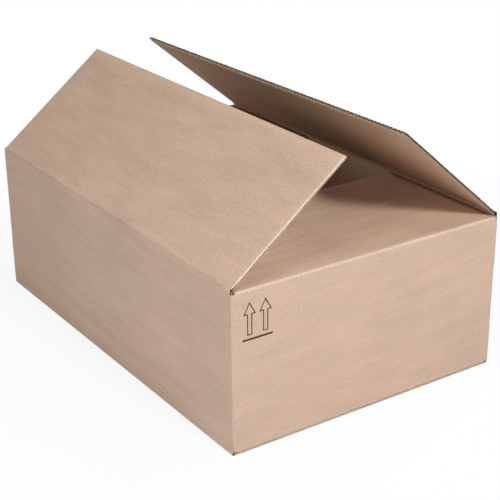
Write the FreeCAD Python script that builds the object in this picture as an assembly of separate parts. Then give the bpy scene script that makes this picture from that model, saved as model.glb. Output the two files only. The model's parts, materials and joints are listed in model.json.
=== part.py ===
# Erected slotted shipping carton of single-wall corrugated board, with its long top flaps ajar.
# Millimetres. X runs along the length, Y along the width and Z up, from the middle of the underside.
# The front is the long side at -Y, and the right is the short side at +X.
import FreeCAD, Part
import math
import os
from FreeCAD import Vector

# The space inside
inside_length = 600.0
inside_width = 400.0
inside_height = 200.0

# The board
board = 4.0  # overall thickness, liners and flutes together
liner = 0.4  # each flat outer paper
medium = 0.3  # the fluted paper, where it lies against a liner
flank = 0.38  # the fluted paper on its slope, measured level
crest = 1.4  # width of a flute's hollow at its narrow side
flute_pitch = 7.5  # crest to crest, before it is fitted to a whole number of flutes
crushed_strip = 8.0  # beside a fold, where scoring has flattened the flutes

# Folds, slots and seams
fold_radius = 2.0  # outside of a square fold
slot_edge = 0.5  # from the end of a corner's rounding to a long flap's cut side
slot_depth = 2.0  # how far a corner slot is cut past the short flap's fold
side_gap = 1.0  # from a short flap's cut side to the long wall
seam_gap = 1.5  # between two long flaps that meet
hinge_gap = 0.1  # from a long top flap's fold line to the paper on either side
closing_gap = 0.3  # between a closed long flap and the short flaps under it

# The blank's glued joint, a tab of the left wall on the inside of the back wall
tab_width = 35.0
tab_fold_radius = 1.0  # outside of its fold, scored flatter than the others to lie under the wall
tab_end_gap = 3.0  # from the tab's ends to the short flaps below and above
tab_taper = 9.0  # how much shorter the tab's free side is, at each end

# How far each long top flap stands above level
front_flap_angle = 38.25
back_flap_angle = 40.0

# Outside sizes and levels
right = inside_length / 2 + board
back = inside_width / 2 + board
floor_top = 2 * board  # a long and a short bottom flap
ceiling = floor_top + inside_height  # underside of the short top flaps
short_top = ceiling + board
fold_line = short_top + closing_gap + board  # where the long top flaps hinge
long_reach = back - seam_gap / 2  # of a long flap, from its fold to its free edge
short_top_reach = long_reach + fold_line - short_top  # the blank's top edge is one straight cut
short_bottom_reach = long_reach + board  # and so is its bottom edge
long_flap_half = right - fold_radius - slot_edge
short_flap_half = back - board - side_gap
slot_low = board + slot_depth
slot_high = short_top - slot_depth

ORIGIN = Vector(0, 0, 0)
X = Vector(1, 0, 0)
Y = Vector(0, 1, 0)
Z = Vector(0, 0, 1)


def arc_middle(radius):
    # How far in from the square corner the middle of a rounded one lies, on both axes.
    return radius * (1 - math.sqrt(0.5))


def outline(points):
    # A closed wire through the points. A pair of points is an arc's middle and end.
    edges = []
    start = points[0]
    for step in points[1:] + [points[0]]:
        if isinstance(step, tuple):
            middle, end = step
            edges.append(Part.Arc(start, middle, end).toShape())
        else:
            end = step
            edges.append(Part.makeLine(start, end))
        start = end
    return Part.Wire(edges)


def joined(shapes):
    return shapes[0].multiFuse(shapes[1:]).removeSplitter()


def fluted_board(half_width, start, reach):
    # Board lying level with its outer face at z 0. Its flutes run along +Y, from start to an open
    # end at reach, and each cut side runs down the middle of a flute.
    flutes = round(2 * half_width / flute_pitch)
    pitch = 2 * half_width / flutes
    low = liner - board
    under_crest = -liner - medium
    lean = medium / (2 * (under_crest - low))
    foot = (pitch / 2 - flank - crest * (0.5 + lean)) / (0.5 - lean)  # the hollow's wide side

    def channel(centre, wide_z, narrow_z):
        return outline([
            Vector(centre - foot / 2, start, wide_z),
            Vector(centre - crest / 2, start, narrow_z),
            Vector(centre + crest / 2, start, narrow_z),
            Vector(centre + foot / 2, start, wide_z),
        ])

    def side(way):
        return [
            Vector(way * half_width, start, 0),
            Vector(way * half_width, start, under_crest),
            Vector(way * (half_width - crest / 2), start, under_crest),
            Vector(way * (half_width - foot / 2), start, low),
            Vector(way * half_width, start, low),
            Vector(way * half_width, start, -board),
        ]

    rim = outline(side(1) + side(-1)[::-1])
    upright = [channel(n * pitch - half_width, low, under_crest) for n in range(1, flutes)]
    hanging = [channel((n + 0.5) * pitch - half_width, -liner, low + medium) for n in range(flutes)]
    section = Part.makeFace([rim] + upright + hanging, "Part::FaceMakerBullseye")
    return section.extrude(Y * (reach - start))


def long_top_flap(angle):
    # The front one, built closed with its fold on the X axis, then lifted about that axis.
    root = Part.Face(outline([
        Vector(-long_flap_half, hinge_gap, 0),
        Vector(-long_flap_half, crushed_strip, 0),
        Vector(-long_flap_half, crushed_strip, -board),
        Vector(-long_flap_half, hinge_gap + board, -board),
    ])).extrude(X * (2 * long_flap_half))
    flap = joined([root, fluted_board(long_flap_half, crushed_strip, long_reach)])
    flap.rotate(ORIGIN, X, angle)
    flap.translate(Vector(0, -back, fold_line))
    return flap


def long_wall():
    # The front wall, mitred at the top for its flap, with its bottom flap folded to the seam.
    corner = arc_middle(fold_radius)
    section = outline([
        Vector(-long_flap_half, -back, fold_line - hinge_gap),
        Vector(-long_flap_half, board - back, fold_line - hinge_gap - board),
        Vector(-long_flap_half, board - back, board),
        Vector(-long_flap_half, long_reach - back, board),
        Vector(-long_flap_half, long_reach - back, 0),
        Vector(-long_flap_half, fold_radius - back, 0),
        (
            Vector(-long_flap_half, corner - back, corner),
            Vector(-long_flap_half, -back, fold_radius),
        ),
    ])
    return Part.Face(section).extrude(X * (2 * long_flap_half))


def short_wall():
    # The right wall with its bottom flap and its folded top flap, whose flutes end open.
    corner = arc_middle(fold_radius)
    crushed_end = right - crushed_strip
    section = outline([
        Vector(right - short_bottom_reach, -short_flap_half, board),
        Vector(right - fold_radius, -short_flap_half, board),
        (
            Vector(right - corner, -short_flap_half, board + corner),
            Vector(right, -short_flap_half, board + fold_radius),
        ),
        Vector(right, -short_flap_half, short_top - fold_radius),
        (
            Vector(right - corner, -short_flap_half, short_top - corner),
            Vector(right - fold_radius, -short_flap_half, short_top),
        ),
        Vector(crushed_end, -short_flap_half, short_top),
        Vector(crushed_end, -short_flap_half, ceiling),
        Vector(right - board, -short_flap_half, ceiling),
        Vector(right - board, -short_flap_half, floor_top),
        Vector(right - short_bottom_reach, -short_flap_half, floor_top),
    ])
    wall = Part.Face(section).extrude(Y * (2 * short_flap_half))
    flap = fluted_board(short_flap_half, crushed_strip, short_top_reach)
    flap.rotate(ORIGIN, Z, 90)
    flap.translate(Vector(right, 0, short_top))
    return joined([wall, flap])


def upright_fold():
    # The front right corner, between its slots.
    corner = arc_middle(fold_radius)
    section = outline([
        Vector(long_flap_half, -back, slot_low),
        Vector(right - fold_radius, -back, slot_low),
        (
            Vector(right - corner, corner - back, slot_low),
            Vector(right, fold_radius - back, slot_low),
        ),
        Vector(right, -short_flap_half, slot_low),
        Vector(right - board, -short_flap_half, slot_low),
        Vector(right - board, board - back, slot_low),
        Vector(long_flap_half, board - back, slot_low),
    ])
    return Part.Face(section).extrude(Z * (slot_high - slot_low))


def glued_joint():
    # The back left corner. The back wall ends in a cut edge, flush with the left wall, whose fold
    # is rounded beside it and runs on as the tab.
    corner = arc_middle(tab_fold_radius)
    in_left_wall = short_flap_half - board
    section = outline([
        Vector(-long_flap_half, back, slot_low),
        Vector(-right, back, slot_low),
        Vector(-right, back - board, slot_low),
        Vector(tab_fold_radius - right, back - board, slot_low),
        (
            Vector(corner - right, back - board - corner, slot_low),
            Vector(-right, back - board - tab_fold_radius, slot_low),
        ),
        Vector(-right, in_left_wall, slot_low),
        Vector(board - right, in_left_wall, slot_low),
        Vector(board - right, back - board, slot_low),
        Vector(-long_flap_half, back - board, slot_low),
    ])
    post = Part.Face(section).extrude(Z * (slot_high - slot_low))
    tab_low = floor_top + tab_end_gap
    tab_high = ceiling - tab_end_gap
    tab_fold = board - right
    tab = Part.Face(outline([
        Vector(tab_fold, back - board, tab_low),
        Vector(tab_fold + tab_width, back - board, tab_low + tab_taper),
        Vector(tab_fold + tab_width, back - board, tab_high - tab_taper),
        Vector(tab_fold, back - board, tab_high),
    ])).extrude(Y * -board)
    return joined([post, tab])


def to_back(shape):
    return shape.mirror(ORIGIN, Y)


def to_left(shape):
    return shape.mirror(ORIGIN, X)


def carton():
    front_wall = long_wall()
    right_wall = short_wall()
    fold = upright_fold()
    return joined([
        front_wall,
        to_back(front_wall),
        right_wall,
        to_left(right_wall),
        fold,
        to_left(fold),
        to_back(fold),
        glued_joint(),
    ])


parts = {
    "carton": carton(),
    "front_flap": long_top_flap(front_flap_angle),
    "back_flap": to_back(long_top_flap(back_flap_angle)),
}
os.makedirs("parts", exist_ok=True)
for name, shape in parts.items():
    solid = shape.Solids[0]
    print(name, len(shape.Solids), "solid", shape.isValid(), round(shape.Volume), len(shape.Faces), "faces")
    solid.exportStep(os.path.join("parts", name + ".step"))
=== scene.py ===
import json
import math

import bmesh
import bpy
from mathutils import Euler, Matrix, Vector
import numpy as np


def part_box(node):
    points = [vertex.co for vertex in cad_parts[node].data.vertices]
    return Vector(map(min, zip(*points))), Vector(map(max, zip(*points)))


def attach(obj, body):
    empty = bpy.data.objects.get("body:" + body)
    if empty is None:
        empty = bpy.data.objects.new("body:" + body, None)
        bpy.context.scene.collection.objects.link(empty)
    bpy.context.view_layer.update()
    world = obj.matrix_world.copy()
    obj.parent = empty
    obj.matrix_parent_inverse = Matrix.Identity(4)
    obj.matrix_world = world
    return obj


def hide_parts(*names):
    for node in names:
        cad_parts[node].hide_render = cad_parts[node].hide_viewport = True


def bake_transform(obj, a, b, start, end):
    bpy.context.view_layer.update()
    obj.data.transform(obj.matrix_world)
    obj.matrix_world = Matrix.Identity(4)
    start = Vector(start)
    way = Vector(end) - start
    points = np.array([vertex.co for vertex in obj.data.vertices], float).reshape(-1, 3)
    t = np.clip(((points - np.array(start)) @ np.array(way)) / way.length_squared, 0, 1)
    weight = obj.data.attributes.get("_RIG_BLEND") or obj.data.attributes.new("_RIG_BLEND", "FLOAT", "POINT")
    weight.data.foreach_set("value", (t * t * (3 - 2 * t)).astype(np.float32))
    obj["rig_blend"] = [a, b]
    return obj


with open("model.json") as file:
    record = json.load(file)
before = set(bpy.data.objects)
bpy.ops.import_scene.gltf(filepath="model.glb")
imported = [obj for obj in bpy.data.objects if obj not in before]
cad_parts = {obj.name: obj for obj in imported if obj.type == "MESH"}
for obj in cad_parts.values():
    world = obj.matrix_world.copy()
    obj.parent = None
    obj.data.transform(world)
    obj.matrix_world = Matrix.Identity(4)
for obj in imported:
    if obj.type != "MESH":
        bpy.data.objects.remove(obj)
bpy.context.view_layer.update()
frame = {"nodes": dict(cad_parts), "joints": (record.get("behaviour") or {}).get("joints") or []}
print("frame loaded:", ", ".join(sorted(frame["nodes"])))


# The board, and how it takes folds and cuts, in metres
board = {
    "thickness": 0.004,
    "liner": 0.0004,
    "fluting": 0.0004,
    "pitch": 0.0075,      # crest to crest
    "flapWaveSteps": 10,  # faces across one flute
    "wallWaveSteps": 6,
    "wallWaveRows": 6,    # up a wall's fluted paper
    "crushedWave": 0.25,  # share of the wave's height left beside a wall's folds
    "foldRadius": 0.002,  # outside of a square fold
    "tightRadius": 0.0004,  # of the papers on the inside of a fold
    "tabRadius": 0.001,
    "foldSteps": 6,
    "crushed": 0.008,     # beside a fold, where the flutes are flattened
    "sideGap": 0.001,     # from a short flap to the long wall beside it
    "closingGap": 0.0003,  # under a closed long flap
    "hingeGap": 0.0001,
    "slotDepth": 0.002,
    "bulge": 0.0006,      # of a wall, in its middle
    "cell": 0.012,        # of the mesh
}

# What the frame says of the carton
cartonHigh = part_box("carton")[1]
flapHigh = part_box("front_flap")[1]
joints = {joint["name"]: joint for joint in frame["joints"]}
frontRise = -math.radians(joints["front_flap_fold"]["range_deg"][0])  # above closed
backRise = -math.radians(joints["back_flap_fold"]["range_deg"][0])
foldLine = joints["front_flap_fold"]["pos_m"][2]
right = cartonHigh.x
back = cartonHigh.y
longReach = (flapHigh.z - foldLine) / math.sin(frontRise)
longHalf = flapHigh.x
shortHalf = back - board["thickness"] - board["sideGap"]
shortTop = foldLine - board["closingGap"] - board["thickness"]
shortTopReach = longReach + foldLine - shortTop
shortBottomReach = longReach + board["thickness"]
slotLow = board["thickness"] + board["slotDepth"]
slotHigh = shortTop - board["slotDepth"]

# The walls in the order of the blank, with the turn that brings each from the front to its side,
# and a shift that gives each its own stretch of the paper's pattern
sides = {
    "left": {"turn": -90, "long": False, "shift": 0.0},
    "front": {"turn": 0, "long": True, "shift": 1.0},
    "right": {"turn": 90, "long": False, "shift": 2.0},
    "back": {"turn": 180, "long": True, "shift": 3.0},
}


# Shader maths

class Value:
    # A socket that can stand in a sum.
    def __init__(self, finish, socket):
        self.finish = finish
        self.socket = socket

    def maths(self, operation, *terms):
        return self.finish.node("Math", {"operation": operation}, dict(enumerate(terms)))

    def __add__(self, other):
        return self.maths("ADD", self, other)

    def __radd__(self, other):
        return self.maths("ADD", other, self)

    def __sub__(self, other):
        return self.maths("SUBTRACT", self, other)

    def __rsub__(self, other):
        return self.maths("SUBTRACT", other, self)

    def __mul__(self, other):
        return self.maths("MULTIPLY", self, other)

    def __rmul__(self, other):
        return self.maths("MULTIPLY", other, self)

    def sine(self):
        return self.maths("SINE", self)

    def swing(self, amount):
        # Turns a noise into a swing of that amount to either side of none.
        return (self - 0.5) * (2 * amount)


class Finish:
    # A material whose nodes are added one call at a time.
    def __init__(self, name):
        self.material = bpy.data.materials.new(name)
        self.material.use_nodes = True
        self.tree = self.material.node_tree
        self.tree.nodes.clear()

    def node(self, kind, settings=None, sockets=None, output=0):
        made = self.tree.nodes.new("ShaderNode" + kind)
        for key, value in (settings or {}).items():
            setattr(made, key, value)
        for key, value in (sockets or {}).items():
            socket = made.inputs[key]
            if isinstance(value, Value):
                self.tree.links.new(value.socket, socket)
            else:
                socket.default_value = value
        return Value(self, made.outputs[output])

    def noise(self, vector, scale, detail, roughness):
        sockets = {"Vector": vector, "Scale": scale, "Detail": detail, "Roughness": roughness}
        return self.node("TexNoise", {"noise_dimensions": "3D"}, sockets)

    def grain(self, scale):
        # Fine specks, right through the paper.
        place = self.node("TexCoord", {}, {}, "Object")
        return self.noise(place, scale, detail=3.0, roughness=0.7)

    def step(self, value, low, high):
        # Rises smoothly from 0 at low to 1 at high.
        settings = {"interpolation_type": "SMOOTHSTEP"}
        sockets = {"Value": value, "From Min": low, "From Max": high, "To Min": 0.0, "To Max": 1.0}
        return self.node("MapRange", settings, sockets)

    def mix(self, factor, first, second, blend="MIX"):
        settings = {"data_type": "RGBA", "blend_type": blend}
        return self.node("Mix", settings, {0: factor, 6: first, 7: second}, output=2)

    def grey(self, value):
        return self.node("CombineColor", {}, {0: value, 1: value, 2: value})

    def surface(self, shader):
        output = self.tree.nodes.new("ShaderNodeOutputMaterial")
        self.tree.links.new(shader.socket, output.inputs["Surface"])
        return self.material

    def paper(self, sockets):
        return self.surface(self.node("BsdfPrincipled", {}, sockets))


def linear(red, green, blue):
    # A colour given as on a screen, 0 to 255.
    def channel(level):
        share = level / 255
        return share / 12.92 if share <= 0.04045 else ((share + 0.055) / 1.055) ** 2.4
    return (channel(red), channel(green), channel(blue), 1.0)


# Papers

linerFinish = {
    "outer": linear(205, 177, 156),
    "inner": linear(197, 168, 141),
    "innerContrast": 0.6,  # of its pattern, against the outer liner's
    # Paler tone of worn paper, also used as a painted highlight along the folds and cut sides
    "worn": linear(236, 222, 208),
    "warm": (1.012, 1.0, 0.98, 1.0),
    "cool": (1.0, 0.992, 1.01, 1.0),
    "hueRange": (0.35, 0.65),   # of the hue noise, from cool to warm
    "cloud": 0.08,      # broad patches
    "streaks": 0.10,    # soft bands along the paper's run
    "wisps": 0.045,     # narrower dark ones
    "wispRange": (0.5, 0.72),   # of the thread noise
    "sway": 0.05,       # how far the bands wander, in metres
    "mottle": 0.12,     # blotches a few millimetres across
    "fibres": 0.34,
    "flutes": 0.004,    # lighter and darker in bands along the flutes
    "flaps": 0.35,      # how much stronger all this is on the top flaps
    "wear": 0.3,        # share of the worn tone along the folds, partly a painted highlight on their rounded edges
    "relief": {"fibres": 0.5, "mottle": 0.4, "flutes": 0.12},
    "bump": 0.00012,
    "bumpStrength": 0.6,
    "roughness": 0.82,
    "roughnessRise": 0.1,
    "specular": 0.25,
}

# Each noise on a liner: how often it changes in a metre along the paper's run, across it and
# through it, its detail and its roughness
linerNoises = {
    "sway": ((3.5, 7.0, 1.0), 1.0, 0.5),
    "cloud": ((9.0, 15.0, 1.0), 3.0, 0.5),
    "streak": ((10.0, 62.0, 1.0), 2.0, 0.5),
    "thread": ((17.0, 110.0, 1.0), 2.0, 0.5),
    "mottle": ((230.0, 250.0, 1.0), 3.0, 0.6),
    "fibres": ((480.0, 560.0, 1.0), 3.0, 0.75),
    "hue": ((16.0, 34.0, 1.0), 3.0, 0.5),
}


def linerMaterial(name, colour, contrast):
    finish = Finish(name)
    flat = finish.node("UVMap", {"uv_map": "flat"})
    along = finish.node("SeparateXYZ", {}, {0: flat}, "X")
    upward = finish.node("SeparateXYZ", {}, {0: flat}, "Y")
    wear = finish.node("Attribute", {"attribute_name": "wear"}, {}, "Fac")

    def noise(kind, vector):
        stretch, detail, roughness = linerNoises[kind]
        stretched = finish.node("VectorMath", {"operation": "MULTIPLY"}, {0: vector, 1: stretch})
        return finish.noise(stretched, 1.0, detail, roughness)

    swayed = upward + (noise("sway", flat) - 0.5) * linerFinish["sway"]
    run = finish.node("CombineXYZ", {}, {0: along, 1: swayed})
    wisp = finish.step(noise("thread", run), *linerFinish["wispRange"])
    mottle = noise("mottle", flat)
    fibres = noise("fibres", flat)
    crest = (along * (2 * math.pi / board["pitch"])).sine()

    shade = noise("cloud", flat).swing(linerFinish["cloud"])
    shade = shade + noise("streak", run).swing(linerFinish["streaks"])
    shade = shade - wisp * linerFinish["wisps"]
    shade = shade + mottle.swing(linerFinish["mottle"])
    shade = shade + fibres.swing(linerFinish["fibres"])
    onFlap = finish.step(upward, shortTop - board["liner"], shortTop + board["thickness"])
    shade = shade * (onFlap * linerFinish["flaps"] + 1) * contrast
    shade = shade + crest * linerFinish["flutes"] + 1
    warmth = finish.step(noise("hue", flat), *linerFinish["hueRange"])
    tint = finish.mix(warmth, linerFinish["cool"], linerFinish["warm"])
    tone = finish.mix(1.0, colour, tint, "MULTIPLY")
    # Paler along the folds and cut sides: worn paper and a painted highlight
    tone = finish.mix(wear * (fibres + 0.5) * linerFinish["wear"], tone, linerFinish["worn"])
    tone = finish.mix(1.0, tone, finish.grey(shade), "MULTIPLY")

    relief = linerFinish["relief"]
    height = fibres * relief["fibres"] + mottle * relief["mottle"] + crest * relief["flutes"]
    bump = finish.node("Bump", {}, {
        "Height": height,
        "Distance": linerFinish["bump"],
        "Strength": linerFinish["bumpStrength"],
    })
    return finish.paper({
        "Base Color": tone,
        "Roughness": mottle * linerFinish["roughnessRise"] + linerFinish["roughness"],
        "Specular IOR Level": linerFinish["specular"],
        "Normal": bump,
    })


edgeFinish = {
    "colour": linear(222, 202, 180),
    "grain": 1400.0,
    "fibres": 0.16,
    "bump": 0.0002,
    "bumpStrength": 0.7,
    "roughness": 0.95,
    "specular": 0.15,
}


def edgeMaterial():
    finish = Finish("cut_edge")
    grain = finish.grain(edgeFinish["grain"])
    shade = finish.grey(grain.swing(edgeFinish["fibres"]) + 1)
    bump = finish.node("Bump", {}, {
        "Height": grain,
        "Distance": edgeFinish["bump"],
        "Strength": edgeFinish["bumpStrength"],
    })
    return finish.paper({
        "Base Color": finish.mix(1.0, edgeFinish["colour"], shade, "MULTIPLY"),
        "Roughness": edgeFinish["roughness"],
        "Specular IOR Level": edgeFinish["specular"],
        "Normal": bump,
    })


flutingFinish = {
    "colour": linear(122, 97, 77),
    "edge": linear(232, 216, 200),
    "hollow": linear(66, 51, 41),  # painted shade, for slots, hollows and the board's insides
    "grain": 1100.0,
    "fibres": 0.18,
    "roughness": 0.95,
    "specular": 0.15,
}


def flutingMaterial(name, colour):
    finish = Finish(name)
    grain = finish.grain(flutingFinish["grain"])
    shade = finish.grey(grain.swing(flutingFinish["fibres"]) + 1)
    return finish.paper({
        "Base Color": finish.mix(1.0, colour, shade, "MULTIPLY"),
        "Roughness": flutingFinish["roughness"],
        "Specular IOR Level": flutingFinish["specular"],
    })


outerLiner = linerMaterial("outer_liner", linerFinish["outer"], 1.0)
innerLiner = linerMaterial("inner_liner", linerFinish["inner"], linerFinish["innerContrast"])
cutEdge = edgeMaterial()
fluting = flutingMaterial("fluting", flutingFinish["colour"])
flutingEdge = flutingMaterial("fluting_edge", flutingFinish["edge"])
# A dark brown that paints the shade in slots, hollows and the board's insides
hollow = flutingMaterial("hollow", flutingFinish["hollow"])

# A liner's finishes by number: its face, its cut edge, its face beside painted shade, and the painted shade
# of its insides, slots and hollows
outerFinishes = [outerLiner, cutEdge, outerLiner, hollow]
innerFinishes = [innerLiner, cutEdge, innerLiner, hollow]
cut, besidePaintedShade, paintedShadeNumber = 1, 2, 3
print("papers mixed")


# Flat sheets and folds

wearAndHighlightFade = 0.0016       # how far beside a fold its wear and painted highlight reach
quarterTurn = math.pi / 2
mitreTurn = math.pi / 4
slant = math.sqrt(2)    # of a mitred edge, against the board's thickness
hair = 1e-6             # closer than this is the same place
seam = 2e-5             # papers closer than this are joined


def flatSheet(left, farRight, low, high, columns=None, rows=None):
    # An upright sheet in the XZ plane with its outer side to the front.
    columns = columns or max(1, round((farRight - left) / board["cell"]))
    rows = rows or max(1, round((high - low) / board["cell"]))
    bm = bmesh.new()
    bmesh.ops.create_grid(bm, x_segments=columns, y_segments=rows, size=0.5)
    bmesh.ops.scale(bm, verts=bm.verts, vec=(farRight - left, high - low, 1))
    bmesh.ops.rotate(bm, verts=bm.verts, matrix=Matrix.Rotation(quarterTurn, 3, "X"))
    bmesh.ops.translate(bm, verts=bm.verts, vec=((left + farRight) / 2, 0, (low + high) / 2))
    return bm


def cutLine(bm, place, direction):
    geometry = list(bm.verts) + list(bm.edges) + list(bm.faces)
    bmesh.ops.bisect_plane(bm, geom=geometry, dist=hair, plane_co=place, plane_no=direction)


def cutAcross(bm, heights):
    for height in heights:
        cutLine(bm, (0, 0, height), (0, 0, 1))


def cutUp(bm, places):
    for place in places:
        cutLine(bm, (place, 0, 0), (1, 0, 0))


def markFlat(bm, shift, rise=0.0, wornAndHighlitHeights=()):
    # Keeps each point's place on the flat blank, for the finish to follow, and how worn it is, which also
    # paints a highlight along the folds.
    layer = bm.loops.layers.uv.new("flat")
    wear = bm.verts.layers.float.new("wear")
    for face in bm.faces:
        for loop in face.loops:
            loop[layer].uv = (loop.vert.co.x + shift, loop.vert.co.z + rise)
    for vert in bm.verts:
        onFold = any(low - hair <= vert.co.z <= high + hair for low, high in wornAndHighlitHeights)
        vert[wear] = 1.0 if onFold else 0.0


def foldLines(start, radius, way):
    # Where a sheet is cut for a square fold. A way of 1 is upwards from the start, and -1 downwards.
    arc = radius * quarterTurn * way
    return [start + arc * step / board["foldSteps"] for step in range(board["foldSteps"] + 1)]


def fold(bm, flat, start, radius, way):
    # Rolls what lies beyond the start round the fold, from its far end back.
    lines = foldLines(start, radius, way)
    for line in reversed(lines):
        share = 0.5 if line in (lines[0], lines[-1]) else 1.0
        beyond = [vert for vert in bm.verts if (flat[vert] - line) * way > hair]
        turned = Matrix.Rotation(-way * quarterTurn * share / board["foldSteps"], 3, "X")
        bmesh.ops.rotate(bm, verts=beyond, cent=(0, 0, line), matrix=turned)


def bend(radius, depth):
    # The radius that a paper at that depth takes in a fold of the board.
    return max(radius - depth, board["tightRadius"])


def bulge(across, height, half):
    # How far a wall stands out, in its middle.
    level = min(max((height - slotLow) / (slotHigh - slotLow), 0.0), 1.0)
    return board["bulge"] * (1 - (across / half) ** 2) * math.sin(math.pi * level)


def cutSlots(bm, half):
    # Cuts the flaps above and below a wall free of their neighbours.
    cutUp(bm, [-half, half])
    beyond = [
        face for face in bm.faces
        if abs(face.calc_center_median().x) > half
        and not slotLow < face.calc_center_median().z < slotHigh
    ]
    bmesh.ops.delete(bm, geom=beyond, context="FACES")


def markSlots(bm, half, number):
    # Numbers the finish of the paper round the upper corner slots, where a liner's cut rims are painted
    # shade.
    reach = 2 * board["thickness"]
    for face in bm.faces:
        inSlot = slotHigh < face.calc_center_median().z < slotHigh + reach
        if inSlot and any(abs(abs(vert.co.x) - half) < hair for vert in face.verts):
            face.material_index = number


def closeBottomSides(bm, half, end):
    # The knife has pressed the outer liner over the bottom flap's cut sides.
    def onSide(vert):
        return abs(abs(vert.co.x) - half) < hair and vert.co.z < end + hair
    edges = [edge for edge in bm.edges if onSide(edge.verts[0]) and onSide(edge.verts[1])]
    grown = bmesh.ops.extrude_edge_only(bm, edges=edges)["geom"]
    moved = [item for item in grown if isinstance(item, bmesh.types.BMVert)]
    pressed = board["thickness"] - 2 * board["liner"]
    bmesh.ops.translate(bm, verts=moved, vec=(0, pressed, 0))


def wallSheet(name, depth, columns=None, wave=None):
    # One wall of the carton with the flaps that stay folded, of a paper at that depth.
    side = sides[name]
    isLong = side["long"]
    across, away, flapHalf = (right, back, longHalf) if isLong else (back, right, shortHalf)
    radius = bend(board["foldRadius"], depth)
    arc = radius * quarterTurn
    wallLeft = depth + radius - across
    wallRight = across - depth - radius
    if name == "left":
        # Its left side turns into the tab.
        wallLeft = board["thickness"] + depth + bend(board["tabRadius"], depth) - across
    if name == "back":
        # Its right side is the blank's cut end, over the tab.
        wallRight = across
    bottomFold = (0.0 if isLong else board["thickness"]) + depth + radius
    bottomReach = longReach if isLong else shortBottomReach
    low = bottomFold - arc - bottomReach + depth + radius
    if isLong:
        # A liner ends in a mitre on the fold line, and the fluted paper below it.
        wallTop = foldLine - board["hingeGap"]
        topFold = wallTop - depth - board["liner"] * slant
        high = topFold + (depth - board["liner"]) * slant if depth else wallTop
        if wave:
            high = wallTop - board["thickness"] - board["liner"]
        worn = [] if depth else [(high, high)]
        lines = [topFold, topFold - wearAndHighlightFade] if depth else [high - wearAndHighlightFade]
    else:
        topFold = shortTop - depth - radius
        high = topFold + arc + shortTopReach - depth - radius
        worn = [(topFold, topFold + arc)]
        lines = foldLines(topFold, radius, 1)
        lines += [topFold - wearAndHighlightFade, topFold + arc + wearAndHighlightFade]
    worn.append((bottomFold - arc, bottomFold))
    lines += foldLines(bottomFold, radius, -1)
    lines += [bottomFold + wearAndHighlightFade, bottomFold - arc - wearAndHighlightFade, slotLow, slotHigh]
    if wave:
        crushed, rows = board["crushed"], board["wallWaveRows"]
        lines += [bottomFold + crushed, bottomFold - arc - crushed, topFold - crushed]
        lines += [slotLow + (slotHigh - slotLow) * row / rows for row in range(1, rows)]
        if not isLong:
            lines.append(topFold + arc + crushed)

    bm = flatSheet(wallLeft, wallRight, low, high, columns, 1 if wave else None)
    cutAcross(bm, lines)
    cutSlots(bm, flapHalf)
    markSlots(bm, flapHalf, cut if wave else besidePaintedShade)
    # The creased mitre of a long wall's inner liner is painted shade.
    if isLong and depth:
        for face in bm.faces:
            if face.calc_center_median().z > topFold:
                face.material_index = paintedShadeNumber
    markFlat(bm, side["shift"], 0.0, worn)
    if isLong and depth == 0:
        closeBottomSides(bm, flapHalf, bottomFold - arc - wearAndHighlightFade)
    flat = {vert: vert.co.z for vert in bm.verts}
    for vert in bm.verts:
        if wave:
            fromFold = min(abs(vert.co.z - bottomFold), abs(vert.co.z - topFold))
            isOpen = fromFold > board["crushed"] - hair
            vert.co.y += wave(vert.co.x) * (1.0 if isOpen else board["crushedWave"])
        vert.co.y -= bulge(vert.co.x, vert.co.z, across)
    fold(bm, flat, bottomFold, radius, -1)
    if not isLong:
        fold(bm, flat, topFold, radius, 1)
    elif depth:
        creased = [vert for vert in bm.verts if flat[vert] > topFold + hair]
        turned = Matrix.Rotation(mitreTurn, 3, "X")
        bmesh.ops.rotate(bm, verts=creased, cent=(0, 0, topFold), matrix=turned)
    bmesh.ops.translate(bm, verts=bm.verts, vec=(0, depth - away, 0))
    turned = Matrix.Rotation(math.radians(side["turn"]), 3, "Z")
    bmesh.ops.rotate(bm, verts=bm.verts, matrix=turned)
    return bm


def gather(target, part):
    # Adds one mesh under construction to another.
    mesh = bpy.data.meshes.new("part")
    part.to_mesh(mesh)
    part.free()
    target.from_mesh(mesh)
    bpy.data.meshes.remove(mesh)


def uprightEdges(bm, x, y):
    def here(vert):
        return abs(vert.co.x - x) < seam / 2 and abs(vert.co.y - y) < seam / 2
    return [edge for edge in bm.edges if here(edge.verts[0]) and here(edge.verts[1])]


def makePiece(bm, name, finishes, thickness=None, offset=-1.0, behind=0):
    for face in bm.faces:
        face.smooth = True
    mesh = bpy.data.meshes.new(name)
    bm.to_mesh(mesh)
    bm.free()
    for finish in finishes:
        mesh.materials.append(finish)
    piece = bpy.data.objects.new(name, mesh)
    bpy.context.scene.collection.objects.link(piece)
    if thickness:
        paper = piece.modifiers.new("paper", "SOLIDIFY")
        paper.thickness = thickness
        paper.offset = offset
        paper.use_even_offset = True
        paper.material_offset = behind
        paper.material_offset_rim = 1
    return piece


tab = {
    "width": 0.035,
    "endGap": 0.003,   # to the short flaps
    "taper": 0.009,    # how much shorter its free side is, at each end
    "steps": 4,
}


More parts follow.
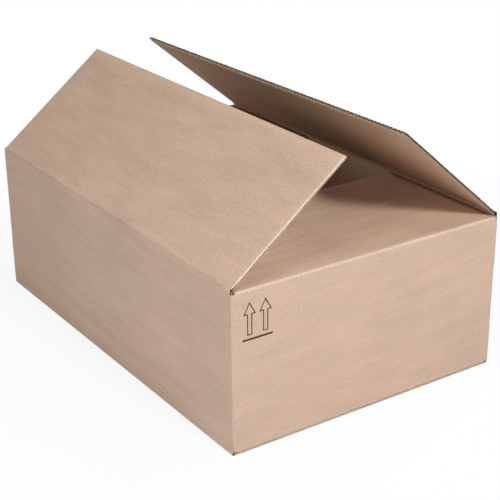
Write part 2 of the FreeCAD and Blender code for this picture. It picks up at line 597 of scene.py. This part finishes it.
def addTab(bm, depth):
    # The left wall's glued tab, inside the back wall.
    radius = bend(board["tabRadius"], depth)
    wallEnd = back - board["thickness"] - depth - radius
    edges = uprightEdges(bm, depth - right, wallEnd)
    centre = (depth + radius - right, wallEnd, 0)
    spun = bmesh.ops.spin(
        bm, geom=edges, cent=centre, axis=(0, 0, 1), angle=-quarterTurn, steps=tab["steps"],
    )
    edges = [item for item in spun["geom_last"] if isinstance(item, bmesh.types.BMEdge)]
    grown = bmesh.ops.extrude_edge_only(bm, edges=edges)["geom"]
    verts = [item for item in grown if isinstance(item, bmesh.types.BMVert)]
    shift = board["thickness"] + tab["width"] - right - centre[0]
    bmesh.ops.translate(bm, verts=verts, vec=(shift, 0, 0))
    low = 2 * board["thickness"] + tab["endGap"] + tab["taper"]
    high = shortTop - board["thickness"] - tab["endGap"] - tab["taper"]
    for vert in verts:
        share = (vert.co.z - slotLow) / (slotHigh - slotLow)
        vert.co.z = low + share * (high - low)


def spinCorner(bm, x, y, radius, turned):
    # Rounds a corner from a wall's upright side, and lays it beyond that wall on the flat blank.
    known = set(bm.faces)
    centre = Vector((x, y, 0))
    start = Vector((0, -radius, 0))
    start.rotate(Euler((0, 0, turned)))
    edges = uprightEdges(bm, x + start.x, y + start.y)
    steps = board["foldSteps"]
    bmesh.ops.spin(bm, geom=edges, cent=centre, axis=(0, 0, 1), angle=quarterTurn, steps=steps)
    layer = bm.loops.layers.uv["flat"]
    for face in set(bm.faces) - known:
        for loop in face.loops:
            arm = loop.vert.co - centre
            loop[layer].uv.x += radius * start.xy.angle(arm.xy)


def cartonLiner(name, depth, finishes, behind=0):
    bm = bmesh.new()
    for side in sides:
        gather(bm, wallSheet(side, depth))
    radius = bend(board["foldRadius"], depth)
    cornerX = right - depth - radius
    cornerY = back - depth - radius
    spinCorner(bm, cornerX, -cornerY, radius, 0)
    spinCorner(bm, cornerX, cornerY, radius, quarterTurn)
    spinCorner(bm, -cornerX, -cornerY, radius, -quarterTurn)
    addTab(bm, depth)
    bmesh.ops.remove_doubles(bm, verts=bm.verts, dist=seam)
    piece = makePiece(bm, name, finishes, board["liner"], behind=behind)
    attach(piece, "carton")
    return piece


innerDepth = board["thickness"] - board["liner"]
# The outer liner's inner face, behind, is painted shade.
cartonOuter = cartonLiner("carton_outer_liner", 0.0, outerFinishes, paintedShadeNumber)
cartonLiner("carton_inner_liner", innerDepth, innerFinishes)
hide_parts("carton")
print("carton liners folded")


# Fluted paper

waveMiddle = board["thickness"] / 2
waveHeight = (board["thickness"] - 2 * board["liner"] - board["fluting"]) / 2


def cartonFluting():
    bm = bmesh.new()
    for name, side in sides.items():
        half = right if side["long"] else back
        count = round(2 * half / board["pitch"])
        pitch = 2 * half / count

        def wave(across):
            return -waveHeight * math.cos(2 * math.pi * (across + half) / pitch)

        gather(bm, wallSheet(name, waveMiddle, count * board["wallWaveSteps"], wave))
    finishes = [fluting, flutingEdge]
    piece = makePiece(bm, "carton_fluting", finishes, board["fluting"], 0.0)
    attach(piece, "carton")


cartonFluting()
print("carton fluting made")


# Long top flaps

flap = {
    "rollRoot": 0.003,        # a cut side's roll begins this far from the fold
    "ragged": 0.14,           # share by which the roll varies
    "raggedWaves": (0.071, 0.193),  # lengths of the two waves that it varies in
    "sideCuts": (0, 0.35, 0.6, 0.8, 0.92),  # across the roll, for its faces
    "wearPower": 3,           # how late the wear and painted highlight of a cut side set in
    "innerPress": 0.0003,     # of the inner liner's cut sides
    "bow": 0.0008,            # outwards, in the middle
    "drift": 0.7,             # radians by which the flutes run off square to the free edge
    "rootWave": 0.15,         # share of the wave's height left at the fold
    "rootCuts": (0.5, 1.0),   # through the crushed strip, for its faces
    "waveRows": 4,
}

# The knife has rolled in the outer liner's cut sides, short and round on the front flap, and long
# and straight on the back one
longSides = {
    "front": {
        "way": 1,           # as it stands, and -1 for turned half round
        "rise": frontRise,
        "twist": 0.0,
        "shift": 1.0,
        "rollDepth": 0.0021,
        "rollWidth": 0.0026,
        "rollPower": 0.5,   # 1 is nearly straight, and less is rounder
        "sideWear": 2.4,    # against the wear of a fold; worn paper and a painted highlight of this lit cut side
        # whether its cut rims are painted shade
        "darkRims": False,
    },
    "back": {
        "way": -1,
        "rise": backRise,
        "twist": math.radians(1.1),  # its right end stands higher than its left
        "shift": 3.0,
        "rollDepth": 0.0014,
        "rollWidth": 0.0075,
        "rollPower": 1.0,
        "sideWear": 0.0,
        "darkRims": True,
    },
}


def sidePast(across, side):
    # From 0, where the roll of a cut side begins, to 1 at the cut.
    return min(max((abs(across) - longHalf) / side["rollWidth"] + 1, 0.0), 1.0)


def rollAt(across, height, side):
    grown = min(max(height / flap["rollRoot"], 0.0), 1.0)
    short, long = (math.sin(2 * math.pi * height / length) for length in flap["raggedWaves"])
    ragged = 1 + flap["ragged"] * short * long
    rolled = 1 - (1 - sidePast(across, side) ** 2) ** side["rollPower"]
    return side["rollDepth"] * ragged * grown * rolled


def bowAt(across, height):
    return flap["bow"] * (1 - (across / longHalf) ** 2) * math.sin(math.pi * height / longReach)


def flapLiner(depth, side):
    # Upright on its fold line, with its outer side to the front.
    start = board["hingeGap"]
    creaseEnd = start + depth + board["liner"] * slant
    low = creaseEnd - (depth - board["liner"]) * slant if depth else start
    bm = flatSheet(-longHalf, longHalf, low, longReach)
    columns = [longHalf - side["rollWidth"] * (1 - past) for past in flap["sideCuts"]]
    cutUp(bm, columns + [-column for column in columns])
    cutAcross(bm, [creaseEnd, creaseEnd + wearAndHighlightFade] if depth else [start + wearAndHighlightFade])
    markFlat(bm, side["shift"], foldLine, [] if depth else [(start, start)])
    for face in bm.faces:
        middle = face.calc_center_median()
        atFreeEdge = not depth and middle.z > longReach - board["cell"]
        atEdge = abs(middle.x) > columns[-1] or atFreeEdge
        # The back flap's cut rims, and an inner liner's creased strip, are painted shade.
        if side["darkRims"] and atEdge:
            face.material_index = besidePaintedShade
        if depth and middle.z < creaseEnd:
            face.material_index = paintedShadeNumber
    wear = bm.verts.layers.float["wear"]
    flat = {vert: vert.co.z for vert in bm.verts}
    for vert in bm.verts:
        x, height = vert.co.x, vert.co.z
        past = sidePast(x, side)
        # The front flap's cut sides are paler: worn paper and a painted highlight of their lit side. The
        # back flap's get none.
        vert[wear] = max(vert[wear], side["sideWear"] * past ** flap["wearPower"])
        press = -flap["innerPress"] * past ** 2 if depth else rollAt(x, height, side)
        vert.co.y += press - bowAt(x, height)
    if depth:
        creased = [vert for vert in bm.verts if flat[vert] < creaseEnd - hair]
        turned = Matrix.Rotation(-mitreTurn, 3, "X")
        bmesh.ops.rotate(bm, verts=creased, cent=(0, 0, creaseEnd), matrix=turned)
    bmesh.ops.translate(bm, verts=bm.verts, vec=(0, depth, 0))
    return bm


def flapFluting(side):
    count = round(2 * longHalf / board["pitch"])
    pitch = 2 * longHalf / count
    low = board["hingeGap"] + board["thickness"]
    columns = count * board["flapWaveSteps"]
    bm = flatSheet(-longHalf, longHalf, low, longReach, columns, flap["waveRows"])
    cutAcross(bm, [low + board["crushed"] * share for share in flap["rootCuts"]])
    markFlat(bm, side["shift"], foldLine)
    shallowest = board["liner"] + board["fluting"] / 2
    deepest = board["thickness"] - shallowest - flap["innerPress"]
    for vert in bm.verts:
        x, height = vert.co.x, vert.co.z
        turn = 2 * math.pi * (x + longHalf) / pitch + flap["drift"] * height / longReach
        past = min((height - low) / board["crushed"], 1.0)
        opened = flap["rootWave"] + (1 - flap["rootWave"]) * past
        depth = waveMiddle - waveHeight * math.cos(turn) * opened
        if sidePast(x, side) > 0:
            depth = min(shallowest + rollAt(x, height, side), deepest)
        vert.co.y = depth - bowAt(x, height)
    return bm


def hang(bm, side):
    # Leans a flap in over the carton and turns it to its side.
    for vert in bm.verts:
        share = (side["way"] * vert.co.x + longHalf) / (2 * longHalf)
        lean = quarterTurn - side["rise"] - side["twist"] * share
        vert.co.rotate(Euler((-lean, 0, 0)))
    bmesh.ops.translate(bm, verts=bm.verts, vec=(0, -back, foldLine))
    if side["way"] < 0:
        bmesh.ops.rotate(bm, verts=bm.verts, matrix=Matrix.Rotation(math.pi, 3, "Z"))
    return bm


def longFlap(name, side):
    flapName = name + "_flap"
    # The outer liner's inner face is painted shade.
    outer = makePiece(
        hang(flapLiner(0.0, side), side),
        flapName + "_outer_liner", outerFinishes, board["liner"], behind=paintedShadeNumber,
    )
    inner = makePiece(
        hang(flapLiner(innerDepth, side), side),
        flapName + "_inner_liner", innerFinishes, board["liner"],
    )
    waved = makePiece(
        hang(flapFluting(side), side),
        flapName + "_fluting", [fluting, flutingEdge], board["fluting"], 0.0,
    )
    for piece in (outer, inner, waved):
        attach(piece, flapName)
    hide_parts(flapName)


for name, side in longSides.items():
    longFlap(name, side)
print("long flaps hung")


# Folds of the long top flaps

crease = {
    "radius": 0.00014,     # of the bead on the fold line
    "segments": 12,
    "paper": 0.0003,       # the inner liner, pressed thin
}


def creaseBead(name, side):
    bm = bmesh.new()
    bmesh.ops.create_circle(bm, cap_ends=True, radius=crease["radius"], segments=crease["segments"])
    grown = bmesh.ops.extrude_face_region(bm, geom=list(bm.faces))["geom"]
    moved = [item for item in grown if isinstance(item, bmesh.types.BMVert)]
    bmesh.ops.translate(bm, verts=moved, vec=(0, 0, 2 * longHalf))
    bmesh.ops.translate(bm, verts=bm.verts, vec=(0, 0, -longHalf))
    bmesh.ops.rotate(bm, verts=bm.verts, matrix=Matrix.Rotation(quarterTurn, 3, "Y"))
    markFlat(bm, side["shift"], foldLine)
    bmesh.ops.translate(bm, verts=bm.verts, vec=(0, -back * side["way"], foldLine))
    bmesh.ops.recalc_face_normals(bm, faces=bm.faces)
    piece = makePiece(bm, name + "_crease_bead", [outerLiner])
    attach(piece, "carton")


def creaseLiner(name, side):
    # The inner liner across the fold. One side stays on the wall, and the other goes with the flap.
    depth = board["thickness"]
    onWall = Vector((0, depth, -board["hingeGap"] - depth))
    onFlap = Vector((0, board["hingeGap"] + depth, -depth))
    onFlap.rotate(Euler((side["rise"], 0, 0)))
    across = onFlap - onWall
    bm = flatSheet(-longHalf, longHalf, 0, across.length, None, 1)
    markFlat(bm, side["shift"], foldLine)
    bmesh.ops.solidify(bm, geom=list(bm.faces), thickness=-crease["paper"])
    bmesh.ops.recalc_face_normals(bm, faces=bm.faces)
    for face in bm.faces:
        face.material_index = round(abs(face.normal.x))  # 1 on its two ends, which are painted shade
    lean = math.atan2(across.z, across.y) - quarterTurn
    bmesh.ops.rotate(bm, verts=bm.verts, matrix=Matrix.Rotation(lean, 3, "X"))
    bmesh.ops.translate(bm, verts=bm.verts, vec=onWall + Vector((0, -back, foldLine)))
    start, end = (Vector((0, -back, foldLine)) + point for point in (onWall, onFlap))
    if side["way"] < 0:
        turned = Matrix.Rotation(math.pi, 3, "Z")
        bmesh.ops.rotate(bm, verts=bm.verts, matrix=turned)
        start, end = turned @ start, turned @ end
    piece = makePiece(bm, name + "_crease_liner", [innerLiner, hollow])
    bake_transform(piece, "carton", name + "_flap", start=start, end=end)


for name, side in longSides.items():
    creaseBead(name, side)
    creaseLiner(name, side)
print("folds creased")


# Print on the right wall

mark = {
    "middle": -0.1685,    # along the wall
    "base": 0.1475,       # above the floor
    "line": 0.0014,       # width of an arrow's outline
    "arrowGap": 0.022,    # from middle to middle
    "shaft": (0.0072, 0.026),  # wide and high
    "head": (0.0175, 0.016),
    "bar": (0.042, 0.0026),
    "barGap": 0.004,
    "proud": 0.00006,     # of the paper
    "ink": linear(66, 50, 48),
    "grain": 900.0,
    "thinRange": (0.58, 0.75),  # of the grain, where the ink thins
    "bare": 0.5,          # share of the board that shows through the thin spots
    "roughness": 0.8,
    "specular": 0.25,
}


def inkMaterial():
    finish = Finish("print_ink")
    thin = finish.step(finish.grain(mark["grain"]), *mark["thinRange"])
    return finish.paper({
        "Base Color": finish.mix(thin * mark["bare"], mark["ink"], linerFinish["outer"]),
        "Roughness": mark["roughness"],
        "Specular IOR Level": mark["specular"],
    })


def drawArrow(bm, x, base):
    halfShaft = mark["shaft"][0] / 2
    halfHead = mark["head"][0] / 2
    neck = base + mark["shaft"][1]
    corners = [
        (-halfShaft, base), (halfShaft, base), (halfShaft, neck), (halfHead, neck),
        (0, neck + mark["head"][1]), (-halfHead, neck), (-halfShaft, neck),
    ]
    arrow = bm.faces.new([bm.verts.new((x + across, 0, height)) for across, height in corners])
    arrow.normal_update()
    bmesh.ops.inset_region(
        bm, faces=[arrow], thickness=mark["line"], use_boundary=True, use_even_offset=True,
    )
    bmesh.ops.delete(bm, geom=[arrow], context="FACES")


def printedArrows():
    bm = bmesh.new()
    bmesh.ops.create_grid(bm, x_segments=1, y_segments=1, size=0.5)
    bmesh.ops.scale(bm, verts=bm.verts, vec=(*mark["bar"], 1))
    bmesh.ops.rotate(bm, verts=bm.verts, matrix=Matrix.Rotation(quarterTurn, 3, "X"))
    middle = Vector((mark["middle"], 0, mark["base"] + mark["bar"][1] / 2))
    bmesh.ops.translate(bm, verts=bm.verts, vec=middle)
    for side in (-1, 1):
        x = mark["middle"] + side * mark["arrowGap"] / 2
        drawArrow(bm, x, mark["base"] + mark["bar"][1] + mark["barGap"])
    for vert in bm.verts:
        vert.co.y -= bulge(vert.co.x, vert.co.z, back) + mark["proud"]
    bmesh.ops.translate(bm, verts=bm.verts, vec=(0, -right, 0))
    bmesh.ops.rotate(bm, verts=bm.verts, matrix=Matrix.Rotation(quarterTurn, 3, "Z"))
    piece = makePiece(bm, "printed_arrows", [inkMaterial()])
    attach(piece, "carton")


printedArrows()
print("print laid on")


# Stage, light and camera

stage = {
    "size": 12.0,      # half the floor's width
    "drop": 0.0003,    # below the carton
    "floor": (0.84, 0.88, 0.96, 1.0),
    "white": 0.88,     # share of pure white that the camera sees by the carton
    "fade": (0.4, 0.85),  # from the middle, where the floor turns all white
}


def makeFloor():
    bm = bmesh.new()
    bmesh.ops.create_grid(bm, x_segments=1, y_segments=1, size=stage["size"])
    bmesh.ops.translate(bm, verts=bm.verts, vec=(0, 0, -stage["drop"]))
    mesh = bpy.data.meshes.new("floor")
    bm.to_mesh(mesh)
    bm.free()
    floor = bpy.data.objects.new("floor", mesh)
    bpy.context.scene.collection.objects.link(floor)
    finish = Finish("floor")
    path = finish.node("LightPath", {}, {}, "Is Camera Ray")
    place = finish.node("TexCoord", {}, {}, "Object")
    far = finish.node("VectorMath", {"operation": "LENGTH"}, {0: place}, "Value")
    white = finish.step(far, *stage["fade"]) * (1 - stage["white"]) + stage["white"]
    plain = finish.node("BsdfDiffuse", {}, {"Color": stage["floor"]})
    glow = finish.node("Emission", {}, {"Color": (1, 1, 1, 1), "Strength": 1.0})
    mixed = finish.node("MixShader", {}, {0: path * white, 1: plain, 2: glow})
    mesh.materials.append(finish.surface(mixed))


sky = {
    "tint": (1.0, 0.97, 0.92, 1.0),
    "strength": 0.08,
}


def makeWorld():
    # The camera sees plain white, and the carton is lit by a soft even sky.
    world = bpy.data.worlds.new("studio")
    world.use_nodes = True
    tree = world.node_tree
    tree.nodes.clear()
    path = tree.nodes.new("ShaderNodeLightPath")
    seen = tree.nodes.new("ShaderNodeBackground")
    seen.inputs["Strength"].default_value = 1.0
    lit = tree.nodes.new("ShaderNodeBackground")
    lit.inputs["Color"].default_value = sky["tint"]
    lit.inputs["Strength"].default_value = sky["strength"]
    mixed = tree.nodes.new("ShaderNodeMixShader")
    output = tree.nodes.new("ShaderNodeOutputWorld")
    tree.links.new(path.outputs["Is Camera Ray"], mixed.inputs[0])
    tree.links.new(lit.outputs[0], mixed.inputs[1])
    tree.links.new(seen.outputs[0], mixed.inputs[2])
    tree.links.new(mixed.outputs[0], output.inputs["Surface"])
    bpy.context.scene.world = world


lamps = {
    "key": {"place": (1.85, 0.0, 1.65), "size": 0.4, "watts": 34.0, "tint": (1.0, 0.99, 0.96)},
    "front": {"place": (0.6, -1.8, 1.3), "size": 1.2, "watts": 14.0, "tint": (1.0, 0.97, 0.93)},
    "back": {"place": (0.0, 1.7, 2.0), "size": 1.5, "watts": 22.0, "tint": (0.95, 0.97, 1.0)},
    "top": {"place": (0.0, 0.0, 2.4), "size": 1.8, "watts": 5.0, "tint": (1.0, 0.97, 0.88)},
    "left": {"place": (-1.7, -0.3, 0.5), "size": 1.0, "watts": 6.4, "tint": (0.96, 0.98, 1.0)},
    "low": {"place": (0.42, -0.9, 0.1), "size": 0.5, "watts": 1.2, "tint": (0.86, 0.9, 1.0)},
}
lampAim = Vector((0.1, 0.0, 0.12))


def makeLamps():
    for name, lamp in lamps.items():
        light = bpy.data.lights.new(name, "AREA")
        light.size = lamp["size"]
        light.energy = lamp["watts"]
        light.color = lamp["tint"]
        placed = bpy.data.objects.new(name, light)
        placed.location = lamp["place"]
        aim = lampAim - placed.location
        placed.rotation_euler = aim.to_track_quat("-Z", "Y").to_euler()
        bpy.context.scene.collection.objects.link(placed)


camera = {
    "place": (1.38266, -0.90451, 0.81698),
    "azimuth": 56.044,    # degrees from looking along +Y, towards -X
    "fall": 23.213,       # below level
    "roll": -0.486,
    "lens": 92.02,        # millimetres
    "sensor": 36.0,
}


def makeCamera():
    lens = bpy.data.cameras.new("camera")
    lens.lens = camera["lens"]
    lens.sensor_width = camera["sensor"]
    placed = bpy.data.objects.new("camera", lens)
    placed.location = camera["place"]
    turned = Matrix.Rotation(math.radians(camera["azimuth"]), 4, "Z")
    dipped = Matrix.Rotation(math.radians(90 - camera["fall"]), 4, "X")
    rolled = Matrix.Rotation(math.radians(camera["roll"]), 4, "Z")
    placed.rotation_euler = (turned @ dipped @ rolled).to_euler()
    bpy.context.scene.collection.objects.link(placed)
    bpy.context.scene.camera = placed


makeFloor()
makeWorld()
makeLamps()
makeCamera()
bpy.context.scene.view_settings.view_transform = "Standard"
print("studio lit")
